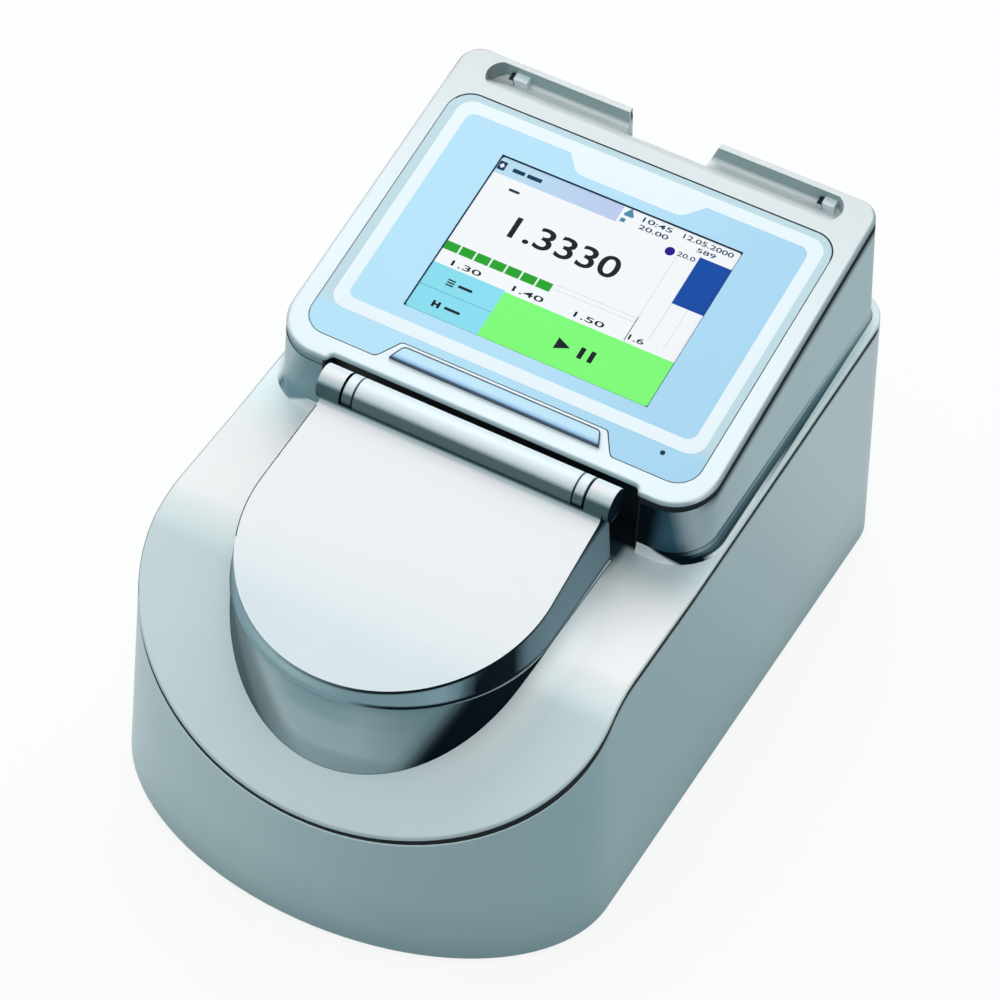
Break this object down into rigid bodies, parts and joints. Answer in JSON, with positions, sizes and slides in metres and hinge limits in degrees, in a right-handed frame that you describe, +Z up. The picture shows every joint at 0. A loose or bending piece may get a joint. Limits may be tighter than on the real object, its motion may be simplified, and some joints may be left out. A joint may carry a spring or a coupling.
{
  "type": "benchtop digital refractometer",
  "caption": "Benchtop digital refractometer: silver housing with rounded front, hinged lid over a sample stage, sloping touch screen head with pen tray.",
  "frame": {"origin": "on the table under the middle of the base", "axes": "+X to the right, +Y to the back, +Z up; the operator faces the front from -Y"},
  "size_m": [0.2256, 0.34, 0.1989],
  "materials": {
    "silver_paint": "satin silver paint on moulded housing",
    "shadow_trim": "dark grey trim strip",
    "black_plastic": "matte black moulding",
    "rubber": "black rubber",
    "stainless": "bright steel",
    "aluminium": "bead-blasted aluminium",
    "optical_glass": "polished optical glass",
    "panel_film": "light blue printed film",
    "screen_glass": "display under glass",
    "badge_blue": "blank glossy light blue plate",
    "circuit_board": "solder mask green",
    "grey_plastic": "pale grey plastic"
  },
  "bodies": {
    "housing": {"base_shell": "silver_paint", "deck_cover": "silver_paint", "stage_housing": "silver_paint", "head_shell": "silver_paint", "head_cover": "silver_paint", "hinge_barrel": "silver_paint", "hinge_collars": "silver_paint", "foot_band": "shadow_trim", "fan_frame": "black_plastic", "power_inlet": "black_plastic", "switch_housing": "black_plastic", "light_source": "black_plastic", "hinge_cradle": "black_plastic", "rubber_feet": "rubber", "prism_seal": "rubber", "rim_gasket": "rubber", "cover_gasket": "rubber", "pen_stops": "rubber", "sample_dish": "stainless", "catch_plate": "stainless", "plate_screws": "stainless", "panel_screws": "stainless", "fan_screws": "stainless", "board_spacers": "stainless", "usb_ports": "stainless", "lan_port": "stainless", "serial_port": "stainless", "optics_bench": "aluminium", "prism_block": "aluminium", "heat_sink": "aluminium", "rear_panel": "aluminium", "bottom_plate": "aluminium", "lens_tubes": "aluminium", "lcd_bracket": "aluminium", "power_supply": "aluminium", "measuring_prism": "optical_glass", "condenser_lens": "optical_glass", "interference_filter": "optical_glass", "objective_lens": "optical_glass", "panel_sheet": "panel_film", "touch_screen": "screen_glass", "badge_plate": "badge_blue", "main_board": "circuit_board", "sensor_board": "circuit_board", "display_board": "circuit_board", "lcd_module": "grey_plastic", "peltier_modules": "grey_plastic", "pen_rests": "grey_plastic", "status_lamp": "grey_plastic"},
    "lid": {"lid_shell": "silver_paint", "lid_inner_plate": "black_plastic", "lid_seal": "rubber", "lid_screws": "stainless", "lid_magnet": "stainless", "hinge_shaft": "stainless"},
    "fan": {"fan_rotor": "black_plastic"},
    "rocker": {"power_rocker": "black_plastic"}
  },
  "joints": [
    {"name": "lid_hinge", "type": "hinge", "parent": "housing", "child": "lid", "pos_m": [0, -0.0275, 0.16], "axis": [-1, 0, 0], "range_deg": [0, 112]},
    {"name": "fan_spin", "type": "hinge", "parent": "housing", "child": "fan", "pos_m": [0.045, 0.15, 0.098], "axis": [0, 1, 0], "continuous": true},
    {"name": "power_rocker_tilt", "type": "hinge", "parent": "housing", "child": "rocker", "pos_m": [-0.024, 0.1605, 0.036], "axis": [1, 0, 0], "range_deg": [-16, 0]}
  ]
}
